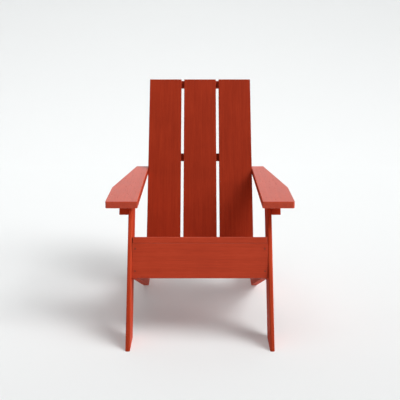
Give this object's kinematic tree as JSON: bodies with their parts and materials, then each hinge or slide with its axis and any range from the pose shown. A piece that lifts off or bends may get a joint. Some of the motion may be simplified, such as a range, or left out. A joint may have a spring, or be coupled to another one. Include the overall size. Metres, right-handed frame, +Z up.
{
  "type": "adirondack chair",
  "caption": "Low garden armchair of flat painted boards, with a sloping seat, a reclined slatted back, raked front legs and wide flat arms.",
  "frame": {"origin": "centre of the chair's bounding box on the ground, between its four feet's outer limits", "axes": "+Z up, -Y towards the front of the seat, +X towards the sitter's left arm, with the chair symmetric about the YZ plane"},
  "size_m": [0.752, 1.085, 0.9603],
  "materials": {
    "painted_wood": "satin rust-red paint over softwood boards, faint raised grain",
    "coated_screws": "steel deck screws with a matt red-brown polymer coating, countersunk heads with a square drive",
    "zinc_plated_bolts": "zinc-plated steel, flat countersunk heads with a hexagon socket"
  },
  "bodies": {
    "root": {"front_leg_left": "painted_wood", "front_leg_right": "painted_wood", "side_rail_left": "painted_wood", "side_rail_right": "painted_wood", "front_apron": "painted_wood", "seat_slat_front": "painted_wood", "seat_slat_middle": "painted_wood", "seat_slat_rear": "painted_wood", "rear_seat_rail": "painted_wood", "back_slat_left": "painted_wood", "back_slat_centre": "painted_wood", "back_slat_right": "painted_wood", "back_batten_top": "painted_wood", "back_batten_middle": "painted_wood", "back_post_left": "painted_wood", "back_post_right": "painted_wood", "arm_left": "painted_wood", "arm_right": "painted_wood", "arm_cleat_left": "painted_wood", "arm_cleat_right": "painted_wood", "apron_screws": "coated_screws", "seat_slat_screws": "coated_screws", "back_batten_screws": "coated_screws", "back_foot_screws": "coated_screws", "back_post_screws": "coated_screws", "rear_rail_screws": "coated_screws", "arm_cleat_screws": "coated_screws", "arm_front_screws": "coated_screws", "arm_rear_screws": "coated_screws", "leg_bolts": "zinc_plated_bolts", "leg_bolt_washers": "zinc_plated_bolts", "leg_bolt_nuts": "zinc_plated_bolts", "post_bolts": "zinc_plated_bolts", "post_bolt_washers": "zinc_plated_bolts", "post_bolt_nuts": "zinc_plated_bolts"}
  },
  "joints": []
}
